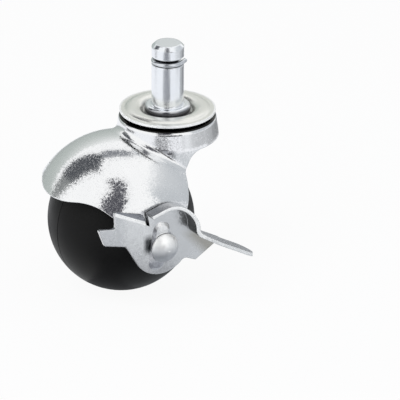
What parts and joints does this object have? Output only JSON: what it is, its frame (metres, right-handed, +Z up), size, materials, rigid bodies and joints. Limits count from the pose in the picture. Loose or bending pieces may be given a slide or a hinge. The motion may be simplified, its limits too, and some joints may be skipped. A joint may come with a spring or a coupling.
{
  "type": "ball castor",
  "caption": "Swivelling ball castor with a grip-ring stem, a bright pressed hood over a black ball, and a foot lever on the axle for the brake.",
  "frame": {"origin": "on the swivel axis, at the shoulder where the stem leaves its flange", "axes": "+Z up the stem, +X to the open front of the hood, -X to where the ball trails, -Y to the side with the brake lever"},
  "size_m": [0.0633, 0.0649, 0.0852],
  "materials": {
    "stem_plate": "bright zinc plate on turned steel",
    "spring_wire": "bright zinc plate on spring wire",
    "disc_plate": "dull zinc plate on pressed steel",
    "bearing_steel": "polished steel",
    "hood_plate": "bright zinc plate on drawn sheet steel",
    "rivet_plate": "satin zinc plate on steel",
    "ball_moulding": "satin black moulding",
    "lever_plate": "satin zinc plate on pressed steel"
  },
  "bodies": {
    "stem": {"stem": "stem_plate", "grip_ring": "spring_wire", "top_disc": "disc_plate", "lower_race": "disc_plate"},
    "upper_balls": {"upper_bearing_balls": "bearing_steel"},
    "lower_balls": {"lower_bearing_balls": "bearing_steel"},
    "hood": {"hood": "hood_plate", "axle": "rivet_plate", "axle_sleeve": "rivet_plate"},
    "ball": {"near_half_ball": "ball_moulding", "far_half_ball": "ball_moulding"},
    "brake": {"brake_lever": "lever_plate"}
  },
  "joints": [
    {"name": "swivel", "type": "hinge", "parent": "stem", "child": "hood", "pos_m": [0, 0, 0], "axis": [0, 0, 1], "continuous": true},
    {"name": "upper_orbit", "type": "hinge", "parent": "stem", "child": "upper_balls", "pos_m": [0, 0, 0], "axis": [0, 0, 1], "continuous": true},
    {"name": "lower_orbit", "type": "hinge", "parent": "stem", "child": "lower_balls", "pos_m": [0, 0, 0], "axis": [0, 0, 1], "continuous": true},
    {"name": "ball_spin", "type": "hinge", "parent": "hood", "child": "ball", "pos_m": [-0.0183, 0, -0.0382], "axis": [0, 1, 0], "continuous": true},
    {"name": "brake_pivot", "type": "hinge", "parent": "hood", "child": "brake", "pos_m": [-0.0183, 0, -0.0382], "axis": [0, 1, 0], "range_deg": [0, 20]}
  ],
  "couplings": [
    {"joint": "upper_orbit", "follows": "swivel", "ratio": 0.5},
    {"joint": "lower_orbit", "follows": "swivel", "ratio": 0.5}
  ]
}
